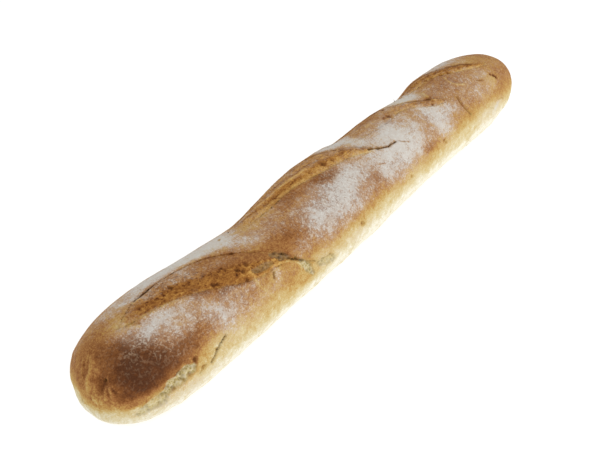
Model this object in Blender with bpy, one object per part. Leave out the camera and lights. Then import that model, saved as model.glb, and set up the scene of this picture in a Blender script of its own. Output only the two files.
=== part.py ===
"""A baguette: one long crusty loaf with a flat base, rounded ends and four diagonal slashes along its top.

The loaf lies along X with the blunter, better-baked end towards -X. It is one closed solid: a loft through
unlike sections, each rounder above its widest line and squarer below it, cut off flat where it rests.
"""
import math

import bmesh
import bpy
import numpy as np

# Overall form, metres.
LENGTH = 0.540
CROWN_HEIGHT = 0.062          # top of the plain dough form, before the slashes swell it
WIDEST_HEIGHT = 0.0248        # height of the widest line, and of both tips
UNDER_DROP = 1.12             # how far the lower half would run below the base before it is cut flat
CROWN_POWER = 2.10            # 2 is an ellipse, more is squarer
UNDER_POWER = 2.70
HALF_WIDTHS = (0.0350, 0.0385, 0.0395, 0.0375, 0.0380, 0.0375, 0.0375, 0.0385, 0.0380, 0.0395)
WIDTH_PLACES = (-0.97, -0.85, -0.65, -0.40, -0.15, 0.15, 0.40, 0.65, 0.85, 0.97)
BENDS = (0.0060, 0.0020, 0.0030, 0.0065, 0.0035)   # sideways drift of the middle line, tip to tip
BEND_PLACES = (-1.0, -0.5, 0.0, 0.5, 1.0)

# Rounded ends: length of the rounding and its power.
NEAR_END = (0.055, 2.6)
FAR_END = (0.083, 2.4)

# The +Y shoulder swells where each slash has opened: place, height and reach of each swelling.
SHOULDER_ANGLE = -40.0
SHOULDER_SPREAD = 50.0
SWELLINGS = ((-0.195, 0.0045, 0.054), (-0.030, 0.0085, 0.048), (0.063, 0.0040, 0.044), (0.184, 0.0036, 0.046))

# Slashes: start, bow point and end as (x in metres, angle from the top in degrees, + towards -Y),
# then the half-width at the middle in metres.
SLASHES = (
    ((-0.234, -1.0), (-0.178, -8.0), (-0.098, 55.0), 0.0110),
    ((-0.120, -28.0), (-0.030, -34.0), (0.048, 25.0), 0.0100),
    ((0.010, -30.0), (0.080, -26.0), (0.140, 18.0), 0.0090),
    ((0.112, -36.0), (0.175, -30.0), (0.220, 18.0), 0.0085),
)
ARC_RADIUS = 0.037            # turns an angle round the loaf into a distance over the crust
GROOVE_DEPTH = 0.0030         # the cut sinks most under its lifted edge
BELLY_RISE = 0.0012           # and swells a little in the middle
EAR_LIFT = 0.0022             # the lifted edge, or ear

# Mesh fineness.
END_RINGS = 11
MIDDLE_RINGS = 78
AROUND = 46
CROWN_CROWDING = 0.28         # puts more of each ring's points on the crown, where the slashes are


def smooth_through(places, values, at):
    """Natural cubic spline through a few hand-set values."""
    x, y = np.asarray(places, float), np.asarray(values, float)
    h = np.diff(x)
    rows = np.eye(len(x))
    right = np.zeros(len(x))
    for i in range(1, len(x) - 1):
        rows[i, i - 1:i + 2] = h[i - 1], 2 * (h[i - 1] + h[i]), h[i]
        right[i] = 6 * ((y[i + 1] - y[i]) / h[i] - (y[i] - y[i - 1]) / h[i - 1])
    m = np.linalg.solve(rows, right)
    at = np.clip(at, x[0], x[-1])
    k = np.clip(np.searchsorted(x, at) - 1, 0, len(h) - 1)
    a, b = x[k + 1] - at, at - x[k]
    return ((m[k] * a ** 3 + m[k + 1] * b ** 3) / (6 * h[k])
            + (y[k] / h[k] - m[k] * h[k] / 6) * a + (y[k + 1] / h[k] - m[k + 1] * h[k] / 6) * b)


def end_rounding(x):
    """1 along the body, falling to 0 at each tip."""
    total = np.ones_like(x)
    for inward, (reach, power) in ((x + LENGTH / 2, NEAR_END), (LENGTH / 2 - x, FAR_END)):
        s = np.clip(inward / reach, 0.0, 1.0)
        total = total * np.maximum(1 - (1 - s) ** power, 0.0) ** (1 / power)
    return total


def dough_form(x, angle):
    """Plain loaf surface for arrays of x (metres) and angle (radians from the top, + towards -Y)."""
    place = 2 * x / LENGTH
    cap = end_rounding(x)
    half_width = smooth_through(WIDTH_PLACES, HALF_WIDTHS, place) * cap
    bend = smooth_through(BEND_PLACES, BENDS, place)
    sine, cosine = np.sin(angle), np.cos(angle)
    above = cosine > 0
    power = 2 / np.where(above, CROWN_POWER, UNDER_POWER)
    rise = np.where(above, CROWN_HEIGHT - WIDEST_HEIGHT, -WIDEST_HEIGHT * UNDER_DROP)
    y = bend - np.sign(sine) * np.abs(sine) ** power * half_width
    z = WIDEST_HEIGHT + rise * np.abs(cosine) ** power * cap
    lift = sum(height * np.exp(-((x - centre) / reach) ** 2) for centre, height, reach in SWELLINGS)
    lift = lift * cap * np.exp(-((np.degrees(angle) - SHOULDER_ANGLE) / SHOULDER_SPREAD) ** 2)
    tilt = math.radians(-SHOULDER_ANGLE)
    return x, y + lift * math.sin(tilt), z + lift * math.cos(tilt), bend


def slash_relief(x, angle):
    """How far the crust stands in or out at each point, metres, from all four slashes."""
    relief = np.zeros_like(x)
    arc = ARC_RADIUS * angle
    t = np.linspace(0, 1, 81)
    for start, bow, end, half_width in SLASHES:
        p0, p1, p2 = (np.array([p[0], ARC_RADIUS * math.radians(p[1])]) for p in (start, bow, end))
        line = np.outer((1 - t) ** 2, p0) + np.outer(2 * t * (1 - t), p1) + np.outer(t ** 2, p2)
        run = np.gradient(line, axis=0)
        run /= np.linalg.norm(run, axis=1)[:, None]
        gap = np.stack([x, arc], axis=-1)[..., None, :] - line
        nearest = np.argmin((gap ** 2).sum(-1), axis=-1)
        offset = np.take_along_axis(gap, nearest[..., None, None], axis=-2)[..., 0, :]
        across = offset[..., 1] * run[nearest, 0] - offset[..., 0] * run[nearest, 1]
        beyond = np.abs((offset * run[nearest]).sum(-1))
        opening = np.sin(math.pi * t[nearest]) ** 0.6
        v = across / (half_width * np.maximum(opening, 0.15))
        fade = opening * np.exp(-(beyond / 0.004) ** 2)
        groove = -GROOVE_DEPTH * np.exp(-((v + 0.72) / 0.30) ** 2)
        belly = BELLY_RISE * np.exp(-((v - 0.15) / 0.45) ** 2)
        ear = EAR_LIFT * np.exp(-((v + 1.35) / 0.30) ** 2)
        relief += fade * (groove + belly + ear)
    return relief


def ring_places():
    """Stations along X, closer together where the ends round off; the two tips are added as points."""
    turn = np.sin(np.linspace(0, math.pi / 2, END_RINGS + 1))
    near = -LENGTH / 2 + NEAR_END[0] * (1 - turn[::-1])
    far = LENGTH / 2 - FAR_END[0] * (1 - turn)
    middle = np.linspace(near[-1], far[0], MIDDLE_RINGS + 2)[1:-1]
    return np.concatenate([near[1:], middle, far[:-1]])


def loaf_points():
    """Ring points (rings, around, 3), with both tips, in metres."""
    turn = np.linspace(-math.pi, math.pi, AROUND, endpoint=False)
    angles = turn - CROWN_CROWDING * np.sin(turn)
    x, angle = np.meshgrid(ring_places(), angles, indexing="ij")
    _, y, z, bend = dough_form(x, angle)
    out_y, out_z = y - bend, z - WIDEST_HEIGHT
    size = np.maximum(np.hypot(out_y, out_z), 1e-9)
    relief = slash_relief(x, angle) * np.clip(np.cos(angle) * 3, 0, 1)
    y, z = y + relief * out_y / size, z + relief * out_z / size
    rings = np.stack([x, y, np.maximum(z, 0.0)], axis=-1)
    tips = [(-LENGTH / 2, BENDS[0], WIDEST_HEIGHT), (LENGTH / 2, BENDS[-1], WIDEST_HEIGHT)]
    return rings, tips


def build_mesh(name):
    rings, tips = loaf_points()
    everything = np.concatenate([rings.reshape(-1, 3), np.array(tips)])
    low, high = everything.min(axis=0), everything.max(axis=0)
    shift = np.array([(low[0] + high[0]) / 2, (low[1] + high[1]) / 2, low[2]])
    bm = bmesh.new()
    grid = [[bm.verts.new(point - shift) for point in ring] for ring in rings]
    near_tip, far_tip = (bm.verts.new(np.array(tip) - shift) for tip in tips)
    for ring, following in zip(grid, grid[1:]):
        for i in range(AROUND):
            j = (i + 1) % AROUND
            bm.faces.new((ring[i], ring[j], following[j], following[i]))
    for i in range(AROUND):
        j = (i + 1) % AROUND
        bm.faces.new((near_tip, grid[0][j], grid[0][i]))
        bm.faces.new((far_tip, grid[-1][i], grid[-1][j]))
    bmesh.ops.recalc_face_normals(bm, faces=bm.faces)
    for face in bm.faces:
        face.smooth = True
    mesh = bpy.data.meshes.new(name)
    bm.to_mesh(mesh)
    bm.free()
    return mesh


def crust_material():
    material = bpy.data.materials.new("crust")
    material.use_nodes = True
    shader = material.node_tree.nodes["Principled BSDF"]
    shader.inputs["Base Color"].default_value = (0.50, 0.27, 0.11, 1.0)
    shader.inputs["Roughness"].default_value = 0.75
    shader.inputs["Metallic"].default_value = 0.0
    return material


def main():
    for item in list(bpy.data.objects):
        bpy.data.objects.remove(item, do_unlink=True)
    collection = bpy.data.collections.new("baguette")
    bpy.context.scene.collection.children.link(collection)
    loaf = bpy.data.objects.new("loaf", build_mesh("loaf"))
    loaf.data.materials.append(crust_material())
    collection.objects.link(loaf)


main()
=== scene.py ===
"""Looks of the baguette: one dense crust with its slashes, cracks, torn crumb and flour, on a pale floor.

Places on the crust are written (x, angle): x in millimetres along the loaf from its middle, angle in degrees
round it from the top, positive towards -Y. Lengths are millimetres unless they say otherwise. Each feature is
drawn twice from the same places: as relief in the mesh, and as values kept on its points for the material.
"""

import itertools
import math
from typing import NamedTuple

import bpy
import numpy as np
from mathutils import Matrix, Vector


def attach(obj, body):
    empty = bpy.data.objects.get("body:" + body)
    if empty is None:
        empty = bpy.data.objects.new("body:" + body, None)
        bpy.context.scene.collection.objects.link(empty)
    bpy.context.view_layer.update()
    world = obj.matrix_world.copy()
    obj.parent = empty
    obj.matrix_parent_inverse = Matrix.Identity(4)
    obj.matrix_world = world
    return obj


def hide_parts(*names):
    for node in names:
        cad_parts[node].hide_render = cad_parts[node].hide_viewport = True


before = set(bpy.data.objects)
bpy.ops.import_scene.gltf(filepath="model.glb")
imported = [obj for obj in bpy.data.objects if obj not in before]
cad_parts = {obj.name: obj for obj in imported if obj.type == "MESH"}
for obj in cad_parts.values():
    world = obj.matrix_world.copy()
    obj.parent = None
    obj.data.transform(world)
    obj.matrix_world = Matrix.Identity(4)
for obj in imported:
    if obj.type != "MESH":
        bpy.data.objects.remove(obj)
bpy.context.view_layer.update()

MM = 0.001
ARC = 0.65                    # millimetres of crust to a degree round the loaf

# ---- the loaf's form, as in the CAD, millimetres
LENGTH = 540.0
CROWN_HEIGHT = 62.0
WIDEST_HEIGHT = 24.8
UNDER_DROP = 1.12
CROWN_POWER = 2.10
UNDER_POWER = 2.70
WIDTH_PLACES = (-0.97, -0.85, -0.65, -0.40, -0.15, 0.15, 0.40, 0.65, 0.85, 0.97)
HALF_WIDTHS = (35.0, 38.8, 39.5, 37.5, 38.0, 37.5, 37.5, 38.5, 38.0, 39.5)
BEND_PLACES = (-1.0, -0.5, 0.0, 0.5, 1.0)
BENDS = (6.7, 2.0, 3.0, 6.5, 4.1)
NEAR_END = (55.0, 2.6)
FAR_END = (83.0, 2.35)
SHOULDER_ANGLE = -40.0
SHOULDER_SPREAD = 50.0
SWELLINGS = ((-195.0, 4.5, 54.0), (-30.0, 8.5, 48.0), (63.0, 4.0, 44.0), (184.0, 3.6, 46.0))

# How far the +Y shoulder sinks in (+) or stands out (-) of that form, round one angle: x, amount.
SINKS_ANGLE, SINKS_SPREAD = -52.0, 30.0
SHOULDER_SINKS = (
    (-266, 1.2), (-254, 0.3), (-240, 1.4), (-230, 1.6), (-200, 0.9), (-158, 1.3), (-135, 0.7), (-102, 1.7),
    (-80, 1), (-35, 1.8), (-12, 1), (3, -0.3), (13, -0.5), (22, 1.2), (56, 2), (85, 1.5), (105, 2.2),
    (126, 4), (140, 2.4), (152, 0.5), (160, 0.2), (182, 1.4), (205, 1), (235, 1.5), (255, 0.8),
)

# The -X tip is flattened low on its +Y side: x, angle, reach, depth.
TIP_DENT = (-268, -100, 10.0, 1.5)

# ---- mesh fineness
RINGS = 541                   # stations along the loaf, the two tips apart
COLUMNS = 181                 # points round each ring
FINE_SIDE = (-64.0, 114.0)    # angles between which the columns stand closest
COLUMN_STEPS = (1.42, 2.4, 5.2)    # degrees between columns: that side, the far flank, the base
BASE_ANGLE = 124.0            # the base's columns start here, on both sides
FINENESS_PLACES = (-270.0, -60.0, 270.0)
FINENESS = (1.22, 1.0, 0.86)  # how closely the rings stand at those places
CLEAN_CRACK = 0.6             # cracks darker than this get a clean edge in the mesh
MAP_MARGIN = 0.008

# ---- noise settings
SLASH_SEED, TEAR_SEED, CRACK_SEED = 100, 300, 400
DRAWN_ALONG = (0.3, 1.0, 1.0)      # stretches noise along the loaf
DRAWN_ROUND = (1.0, 0.4, 0.4)      # and round it
SETTLING = 0.3                # how far the whole skin sinks, so that its lumps stay near the CAD's surface

# ---- slashes
class Slash(NamedTuple):
    """One slash. Its sizes are in millimetres, and its lines are places on the crust."""
    upper: tuple  # its lifted edge
    lower: tuple  # its other edge
    ledge: tuple  # the ragged line that parts the opened dough in two bands
    groove: float  # how deep the cut runs under the lifted edge
    ear: float  # how far that edge stands up
    belly: float  # how far the opened dough swells
    step: float  # how far the skin below stands over the dough
    ledge_shade: float  # how much painted shade darkens the dough under the ledge's step
    dots: float  # how much darker the dough's pits are
    tone: tuple  # how dark the dough is baked above the ledge, below it, and at the end below it
    veil: tuple  # flour above and below the ledge
    shadow_line: tuple  # where the painted shadow under the lifted edge starts and ends, as shares of that edge, and its darkness
    fibre: float  # how stringy the dough is
    fade_in: tuple  # where along x the opened dough comes in
    band_end: tuple = (300, 310)  # where along x the band above the ledge turns to plain brown skin


SLASHES = (
    Slash(
        upper=((-237, -1), (-227, -6), (-217, -12), (-207, -15), (-190, -17), (-172, -15), (-158, -11),
               (-148, -5), (-138, 3), (-128, 13), (-118, 26), (-108, 39), (-98, 54)),
        lower=((-237, -1), (-226, 3), (-212, 6), (-200, 9), (-185, 15), (-170, 24), (-156, 33),
               (-143, 41), (-132, 45), (-122, 47), (-112, 49), (-104, 52), (-98, 56)),
        ledge=((-237, -1), (-220, -4), (-205, -1), (-190, 1), (-178, 5), (-165, 9), (-150, 15),
               (-138, 23), (-128, 30), (-114, 40), (-98, 55)),
        groove=2.2, ear=0.9, belly=1.2, step=1.0, ledge_shade=0.11, dots=0.27,
        tone=(0.53, 0.51, 0.37), veil=(0.26, 0.0), shadow_line=(0.14, 0.33, 0.85), fibre=0.25,
        fade_in=(-234, -208), band_end=(-174, -158),
    ),
    Slash(
        upper=((-119, -25), (-108, -33), (-95, -38), (-75, -43), (-55, -43), (-38, -40), (-20, -34),
               (-6, -27), (4, -19), (13, -11), (21, -2), (28, 8), (35, 16)),
        lower=((-119, -25), (-110, -14), (-98, -11), (-80, -9), (-60, -8), (-45, -4), (-25, 1),
               (0, 4), (12, 8), (24, 14), (35, 18)),
        ledge=((-119, -25), (-100, -24), (-85, -19), (-70, -17), (-50, -13), (-35, -9), (-15, -6),
               (0, -4), (15, 1), (25, 9), (35, 17)),
        groove=2.0, ear=0.9, belly=1.8, step=0.9, ledge_shade=0.16, dots=0.14,
        tone=(0.46, 0.34, 0.33), veil=(0.20, 0.05), shadow_line=(0.84, 1.0, 0.4), fibre=0.8,
        fade_in=(-119, -100),
    ),
    Slash(
        upper=((8, -27), (25, -34), (45, -38), (65, -37), (82, -31), (95, -21), (104, -11),
               (112, -3), (119, 4), (125, 9), (132, 15), (145, 24)),
        lower=((8, -27), (20, -14), (35, -6), (55, -1), (75, 1), (90, -1), (100, 2), (107, 9),
               (114, 16), (124, 22), (134, 26), (145, 28)),
        ledge=((8, -27), (30, -20), (60, -14), (85, -9), (100, -4), (112, 4), (125, 14), (145, 26)),
        groove=1.8, ear=0.8, belly=1.4, step=0.7, ledge_shade=0.14, dots=0.10,
        tone=(0.46, 0.38, 0.44), veil=(0.10, 0.10), shadow_line=(0.42, 0.95, 0.55), fibre=0.6,
        fade_in=(70, 100),
    ),
    Slash(
        upper=((110, -30), (122, -36), (136, -41), (150, -40), (161, -32), (171, -23), (181, -15),
               (191, -7), (200, 0), (209, 8), (222, 17)),
        lower=((110, -30), (122, -21), (135, -18), (148, -16), (160, -11), (168, -6), (175, 0),
               (184, 5), (194, 11), (206, 16), (222, 19)),
        ledge=((110, -30), (130, -29), (150, -25), (165, -17), (180, -6), (195, 4), (222, 18)),
        groove=1.6, ear=0.8, belly=1.2, step=0.6, ledge_shade=0.16, dots=0.14,
        tone=(0.48, 0.40, 0.34), veil=(0.04, 0.12), shadow_line=(0.12, 0.92, 0.5), fibre=0.6,
        fade_in=(110, 135),
    ),
)

# Thin cracks: points, width, depth, and darkness: how strong the painted shade in each is.
CRACKS = (
    (((-107, 46), (-104, 51), (-99, 57), (-94, 63)), 0.95, 1.2, 0.85),
    (((-136, 37), (-128, 41), (-118, 42), (-109, 44)), 0.9, 0.8, 0.22),
    (((-94, 63), (-89, 68), (-83, 74)), 0.8, 0.7, 0.6),
    (((-123, 48), (-125, 52), (-126, 56)), 1.0, 0.9, 0.65),
    (((-91, 66), (-89, 74), (-88, 82), (-86, 89)), 0.9, 0.8, 0.30),
    (((-68, 78), (-65, 84), (-63, 92)), 1.0, 0.6, 0.35),
    (((25, 10), (29, 13), (33, 16), (40, 21), (46, 24), (52, 25), (57, 26)), 0.95, 1.5, 0.95),
    (((57, 26), (61, 31), (67, 38)), 0.6, 0.5, 0.38),
    (((188, 75), (195, 80), (198, 87)), 0.8, 0.5, 0.22),
    (((205, 74), (213, 77), (221, 84)), 0.8, 0.5, 0.22),
    (((-209, 88), (-205, 84), (-201, 83)), 1.1, 1.1, 0.40),
    (((-199, 86), (-195, 81), (-191, 76), (-186, 72), (-180, 68)), 0.9, 1.0, 0.66),
    (((153, 29), (151, 39), (152, 50), (155, 59), (158, 66)), 1.5, 1.3, 0.48),
    (((189, 30), (193, 33), (198, 36)), 0.9, 0.7, 0.50),
    (((-131, -20), (-128, -25)), 0.9, 0.6, 0.5),
    (((-229, 1), (-225, 4), (-222, 9)), 1.1, 0.7, 0.28),
    (((-160, -12), (-148, -4), (-138, 4), (-128, 14), (-120, 24)), 0.7, 0.4, 0.30),
    (((-84, 76), (-76, 79), (-70, 78), (-66, 82)), 0.8, 0.6, 0.5),
    (((-62, 93), (-68, 88), (-74, 90)), 0.7, 0.5, 0.4),
    (((-202, 57), (-207, 64), (-208, 70)), 0.9, 0.5, 0.25),
    (((21, 33), (25, 35), (29, 37)), 0.5, 0.3, 0.30),
    (((101, -16), (109, -7), (118, 2), (126, 9)), 1.2, 0.8, 0.50),
    (((150, -17), (158, -13), (166, -9), (173, -4), (181, 1)), 0.8, 0.7, 0.30),
    (((176, -15), (184, -9), (191, -4), (199, 2), (206, 8)), 0.9, 0.6, 0.40),
)

# Raised lines: points, width, height, and how much paler (-) or darker (+) they are.
RIDGES = (
    (((-98, -28), (-82, -24), (-64, -20), (-46, -16), (-25, -12)), 0.9, 0.8, -0.26),
    (((-104, -30), (-88, -32), (-70, -31), (-52, -28), (-34, -24)), 0.8, 0.7, -0.10),
    (((-74, -37), (-55, -36), (-38, -32), (-18, -25)), 0.8, 0.6, -0.08),
    (((-50, -24), (-34, -20), (-18, -16), (-4, -11)), 0.7, 0.5, -0.12),
    (((-30, -29), (-16, -24), (-4, -18)), 0.7, 0.5, -0.12),
    (((-80, -27), (-64, -26), (-50, -23)), 0.8, -0.4, 0.14),
    (((-60, -33), (-46, -31), (-34, -28)), 0.8, -0.4, 0.14),
    (((-40, -19), (-28, -17), (-14, -12)), 0.8, -0.4, 0.14),
    (((40, -24), (56, -22), (70, -17)), 0.9, -0.3, 0.12),
    (((44, -15), (58, -13), (68, -11)), 0.9, 0.3, -0.10),
    (((-92, -19), (-74, -16.5), (-56, -13), (-38, -9)), 1.0, -0.4, 0.10),
    (((-222, 4), (-212, 6.5), (-200, 9.5), (-192, 12)), 0.8, 0.5, -0.20),
    (((6, 5), (16, 10), (26, 14), (34, 18)), 1.0, 0.5, -0.26),
    (((131, -6), (128, 3), (127, 11), (131, 18)), 1.2, 1.2, -0.30),
    (((102, 27), (102, 38), (106, 52), (110, 64)), 0.9, 0.7, -0.12),
    (((-215, -13), (-211, -12), (-207, -11)), 1.0, 0.6, -0.35),
    (((-230, 5), (-227, 8), (-223, 11)), 0.9, 0.5, -0.24),
    (((167, -4), (163, 6), (164, 15), (169, 21), (175, 26)), 1.0, 1.0, -0.26),
    (((103, 3), (108, 12), (116, 20), (125, 25), (136, 29)), 0.9, 0.6, -0.16),
    (((157, 33), (156, 45), (158, 58)), 1.5, 0.5, -0.10),
    (((-144, 31), (-139, 35), (-140, 46), (-138, 56), (-136, 66)), 1.0, 0.6, -0.18),
    (((-121, 43), (-113, 47), (-106, 53), (-100, 61), (-98, 69)), 0.8, 0.9, -0.20),
    (((-238, 72), (-228, 69), (-220, 65), (-213, 68)), 0.9, 0.5, -0.12),
)

# Holes: x, angle, radius, depth, and darkness: how strong the painted shade at the bottom is, and how much
# browner round it.
HOLES = (
    (-233, 79, 1.6, 1.2, 0.6), (-229, 83, 1.4, 1, 0.5), (-224, 69, 1.3, 0.9, 0.5), (-222, 79, 1.4, 1, 0.45),
    (-216, 80, 1.8, 1, 0.4), (-209, 68, 1.9, 1.4, 0.7), (-209, 72, 1.6, 1, 0.55),
    (-205, 83, 1.6, 0.9, 0.45), (-192, 76, 1.2, 0.9, 0.6), (-189, -1, 1.4, 0.6, 0.6),
    (-167, 21, 1.6, 1.2, 0.6), (-164, 23, 1.3, 1, 0.45), (-149, 27, 1.2, 0.8, 0.45),
    (-146, 23, 1.7, 1.6, 0.65), (-145, 36, 1.5, 0.9, 0.45), (-143, 27, 1.7, 1.2, 0.55),
    (-138, 4, 1.6, 0.5, 0.4), (-138, 24, 1.8, 0.9, 0.45), (-135, 34, 1.3, 0.8, 0.4),
    (-125, 38, 1.4, 1, 0.35), (-113, 33, 1.1, 1.2, 0.35), (-112, 41, 1.1, 1.2, 0.35),
    (-109, 37, 1.1, 1.2, 0.25), (-106, 44, 1.1, 1.4, 0.35), (-25, 77, 2, 1, 0.45),
    (-22, 79, 1.5, 0.7, 0.35), (-17, -6, 2, 1, 0.6), (-8, -4, 1.6, 0.8, 0.35), (5, -14, 1.4, 0.8, 0.6),
    (9, -8, 1.8, 0.7, 0.45), (51, 75, 2.2, 0.7, 0.3), (72, -8, 1.6, 0.7, 0.25), (77, -6, 2.2, 1.4, 0.45),
    (84, -22, 1.5, 0.7, 0.7), (109, 68, 1.6, 0.9, 0.5), (111, 73, 1.4, 0.6, 0.4), (118, -28, 1.6, 1, 0.6),
    (122, 20, 1.3, 0.8, 0.5), (126, 9, 2.4, 1.4, 0.75), (158, -13, 1.7, 0.6, 0.5), (168, -7, 1.6, 0.8, 0.5),
    (175, -2, 1.6, 0.6, 0.45), (211.5, 34, 1.4, 0.8, 0.6), (214.5, 38.5, 1.7, 1.2, 0.9),
    (216.5, 43, 1.7, 1.3, 1),
)

# Torn places where pale crumb shows: points down the middle with the half-width at each, how fully the crumb
# shows and how much painted shade lies over it, which also makes the crumb more olive.
TEARS = (
    (((-236, 82, 3.0), (-231, 79, 4.4), (-225, 77, 4.4), (-219, 74.5, 4.8), (-213, 75, 3.2)), 0.85, 0.0),
    (((-252, 94, 1.8), (-245, 89, 3.2), (-238, 86, 3.8)), 0.50, 0.0),
    (((-138, 33, 1.2), (-133, 36, 2.2), (-127, 38, 2.8), (-121, 40, 1.6)), 0.26, 0.34),
    (((-117, 33, 1.8), (-113, 36, 3.4), (-110, 41, 3.4), (-107, 46, 2.0)), 0.28, 0.30),
    (((-98, 60, 1.4), (-95, 67, 3.0), (-92, 76, 2.9), (-89, 85, 1.4)), 0.80, 0.0),
    (((-82, 77, 1.4), (-77, 80, 2.8), (-71, 84, 3.2), (-65, 87, 2.0)), 0.40, 0.0),
)

# Flour lying on the crust, then where it is missing: x, angle, reach along x, reach in degrees, strength.
FLOUR = (
    # x below -170
    (-254, -42, 8, 8, 0.14), (-238, -34, 10, 10, 0.18), (-238, 34, 26, 34, 0.05), (-232, 5, 11, 13, 0.24),
    (-222, 92, 24, 8, 0.35), (-220, 16, 12, 9, 0.47), (-219, -32, 14, 13, 0.34), (-218, 24, 8, 5, 0.2),
    (-208, 46, 16, 14, 0.08), (-207, 17, 11, 8, 0.53), (-205, -23, 22, 8, 0.48), (-205, 33, 12, 9, 0.42),
    (-204, -20, 10, 5, 0.34), (-190, -31, 24, 10, 0.78), (-190, 24, 12, 9, 0.4), (-182, 40, 9, 10, 0.4),
    (-180, 66, 10, 9, 0.12), (-175, -5, 13, 4, 0.42), (-175, 57, 9, 15, 0.46),
    # -170 to -100
    (-168, -22, 20, 7, 0.45), (-167, 35, 7, 5, 0.24), (-160, 44, 12, 9, 0.34), (-160, 66, 26, 16, 0.22),
    (-158, -34, 34, 15, 0.76), (-153, 4, 16, 7, 0.3), (-148, -24, 12, 6, 0.5), (-147, -21, 14, 10, 0.6),
    (-142, -12, 10, 5, 0.4), (-142, 44, 8, 5, 0.2), (-130, 62, 22, 8, 0.15), (-128, -24, 8, 8, 0.3),
    (-128, -22, 14, 14, 0.44), (-128, -4, 10, 12, 0.52), (-122, 3, 7, 6, 0.24), (-122, 51, 3.5, 8, 0.45),
    (-115, 3, 11, 10, 0.36), (-102, -27, 10, 7, 0.36),
    # -100 to 20
    (-98, 2, 14, 12, 0.24), (-92, -17, 11, 5, 0.36), (-90, 12, 12, 12, 0.1), (-90, 50, 9, 9, 0.24),
    (-80, -4, 11, 5, 0.14), (-76, 30, 8, 18, 0.27), (-74, 70, 10, 6, 0.14), (-74, 80, 9, 6, 0.34),
    (-62, 36, 13, 23, 0.52), (-49, 5, 7, 5, 0.22), (-45, 34, 17, 24, 0.52), (-38, 15, 8, 6, 0.34),
    (-35, 84, 22, 6, 0.2), (-24, 28, 16, 19, 0.55), (-20, 50, 27, 12, 0.38), (-13, 22, 15, 18, 0.56),
    (4, 20, 14, 16, 0.52), (6, -28, 9, 6, 0.2), (9, -29, 12, 12, 0.86), (10, 38, 10, 16, 0.14),
    (17, -4, 8, 5, 0.26), (18, -24, 7, 12, 0.3),
    # 20 to 110
    (24, -14, 8, 20, 0.72), (27, 34, 12, 24, 0.72), (36, 2, 9, 9, 0.5), (42, -24, 9, 6, 0.28),
    (48, 38, 19, 26, 0.74), (52, 8, 18, 10, 0.58), (60, -8, 26, 9, 0.26), (66, 30, 17, 30, 0.76),
    (78, 55, 8, 7, 0.24), (82, 28, 11, 26, 0.42), (90, -22, 9, 9, 0.46), (94, 48, 8, 7, 0.26),
    (106, -11, 10, 7, 0.36), (106, 24, 12, 20, 0.54),
    # above 110
    (110, -25, 12, 16, 0.74), (116, -12, 10, 12, 0.68), (116, 40, 12, 26, 0.7), (120, 58, 12, 7, 0.3),
    (122, -24, 7, 6, 0.5), (128, -20, 7, 12, 0.3), (132, 36, 11, 14, 0.52), (140, -2, 10, 9, 0.14),
    (140, 15, 8, 7, 0.18), (146, 40, 10, 12, 0.2), (148, 5, 16, 16, 0.1), (174, 20, 22, 26, 0.22),
    (182, 76, 10, 6, 0.2), (184, 45, 20, 16, 0.26), (186, 84, 18, 8, 0.3), (192, -30, 28, 14, 0.66),
    (200, 25, 8, 7, 0.34), (201, -7, 8, 6, 0.22), (203, 82, 12, 8, 0.42), (228, 20, 30, 50, 0.08),
)
BARE = (
    (-254, 86, 9, 6, 0.6), (-230, 68, 9, 4, 0.6), (-210, -28, 10, 7, 0.3), (-206, 28, 8, 6, 0.25),
    (-202, 85, 12, 5, 0.7), (-198, -12, 9, 4, 0.6), (-160, -12, 9, 4, 0.4), (-134, 4, 8, 8, 0.5),
    (-106, 0, 8, 7, 0.4), (-82, 40, 7, 7, 0.4), (-78, 24, 8, 7, 0.3), (-60, -42, 26, 8, 0.85),
    (-54, 48, 8, 7, 0.25), (-52, -4, 30, 6, 0.12), (-46, -27, 9, 6, 0.5), (-35, 4, 8, 5, 0.6),
    (-20, 10, 9, 6, 0.72), (-12, 46, 5, 7, 0.3), (0, 8, 7, 5, 0.4), (9, 42, 8, 15, 0.3),
    (10, 15, 8, 6, 0.25), (18, 36, 8, 8, 0.2), (34, 12, 7, 6, 0.3), (46, 0, 8, 6, 0.35),
    (82, 12, 8, 7, 0.3), (85, 60, 7, 10, 0.45), (94, 32, 7, 8, 0.25),
)

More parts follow.
